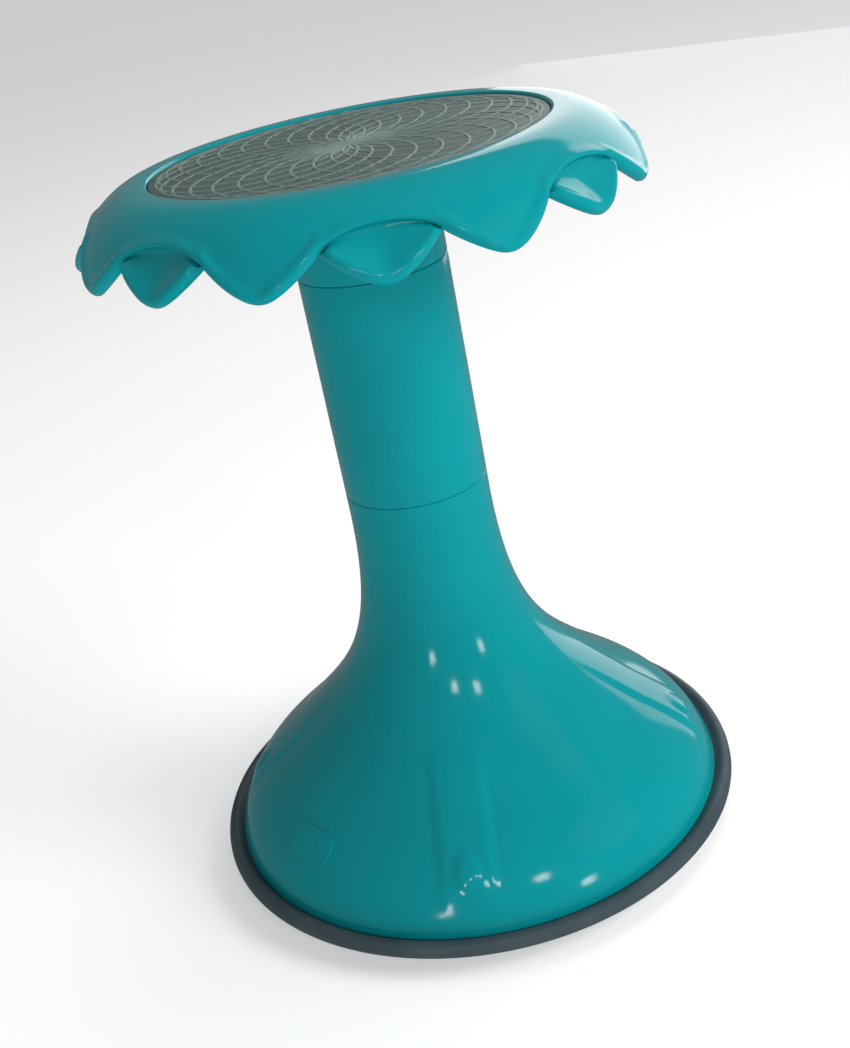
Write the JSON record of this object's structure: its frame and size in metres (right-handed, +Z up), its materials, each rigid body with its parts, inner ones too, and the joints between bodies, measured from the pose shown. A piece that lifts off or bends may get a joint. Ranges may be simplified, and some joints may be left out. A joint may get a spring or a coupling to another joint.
{
  "type": "wobble stool",
  "caption": "Wobble stool: round petal-skirted seat with a rubber mat on a straight sectioned column and a flared base that rocks on a domed rubber tread.",
  "frame": {"origin": "centre of the flat foot under the domed tread, on the floor", "axes": "+Z up along the column; -Y is the front of the seat as seen by a viewer facing it; +X to the viewer's right"},
  "size_m": [0.343, 0.343, 0.4517],
  "materials": {
    "teal_plastic": "smooth semi-gloss injection moulded",
    "dark_plastic": "fine matt, unpainted moulding",
    "tread_rubber": "matt dark grey-blue rubber",
    "ring_rubber": "matt black rubber",
    "pad_rubber": "textured grey-green rubber mat",
    "screw_steel": "zinc-plated"
  },
  "bodies": {
    "base": {"base_shell": "teal_plastic", "base_post": "dark_plastic", "base_pan": "dark_plastic", "base_tread": "tread_rubber", "base_post_screws": "screw_steel", "shell_screws": "screw_steel", "lower_grip_ring": "ring_rubber"},
    "column": {"column_tube": "teal_plastic", "column_spigot": "dark_plastic", "upper_grip_ring": "ring_rubber"},
    "seat": {"seat_shell": "teal_plastic", "seat_pad": "pad_rubber", "seat_hub": "teal_plastic", "seat_hub_screws": "screw_steel"}
  },
  "joints": [
    {"name": "column_lift", "type": "slide", "parent": "base", "child": "column", "axis": [0, 0, 1], "range_m": [0, 0.04]},
    {"name": "seat_lift", "type": "slide", "parent": "column", "child": "seat", "axis": [0, 0, 1], "range_m": [0, 0.04]}
  ]
}
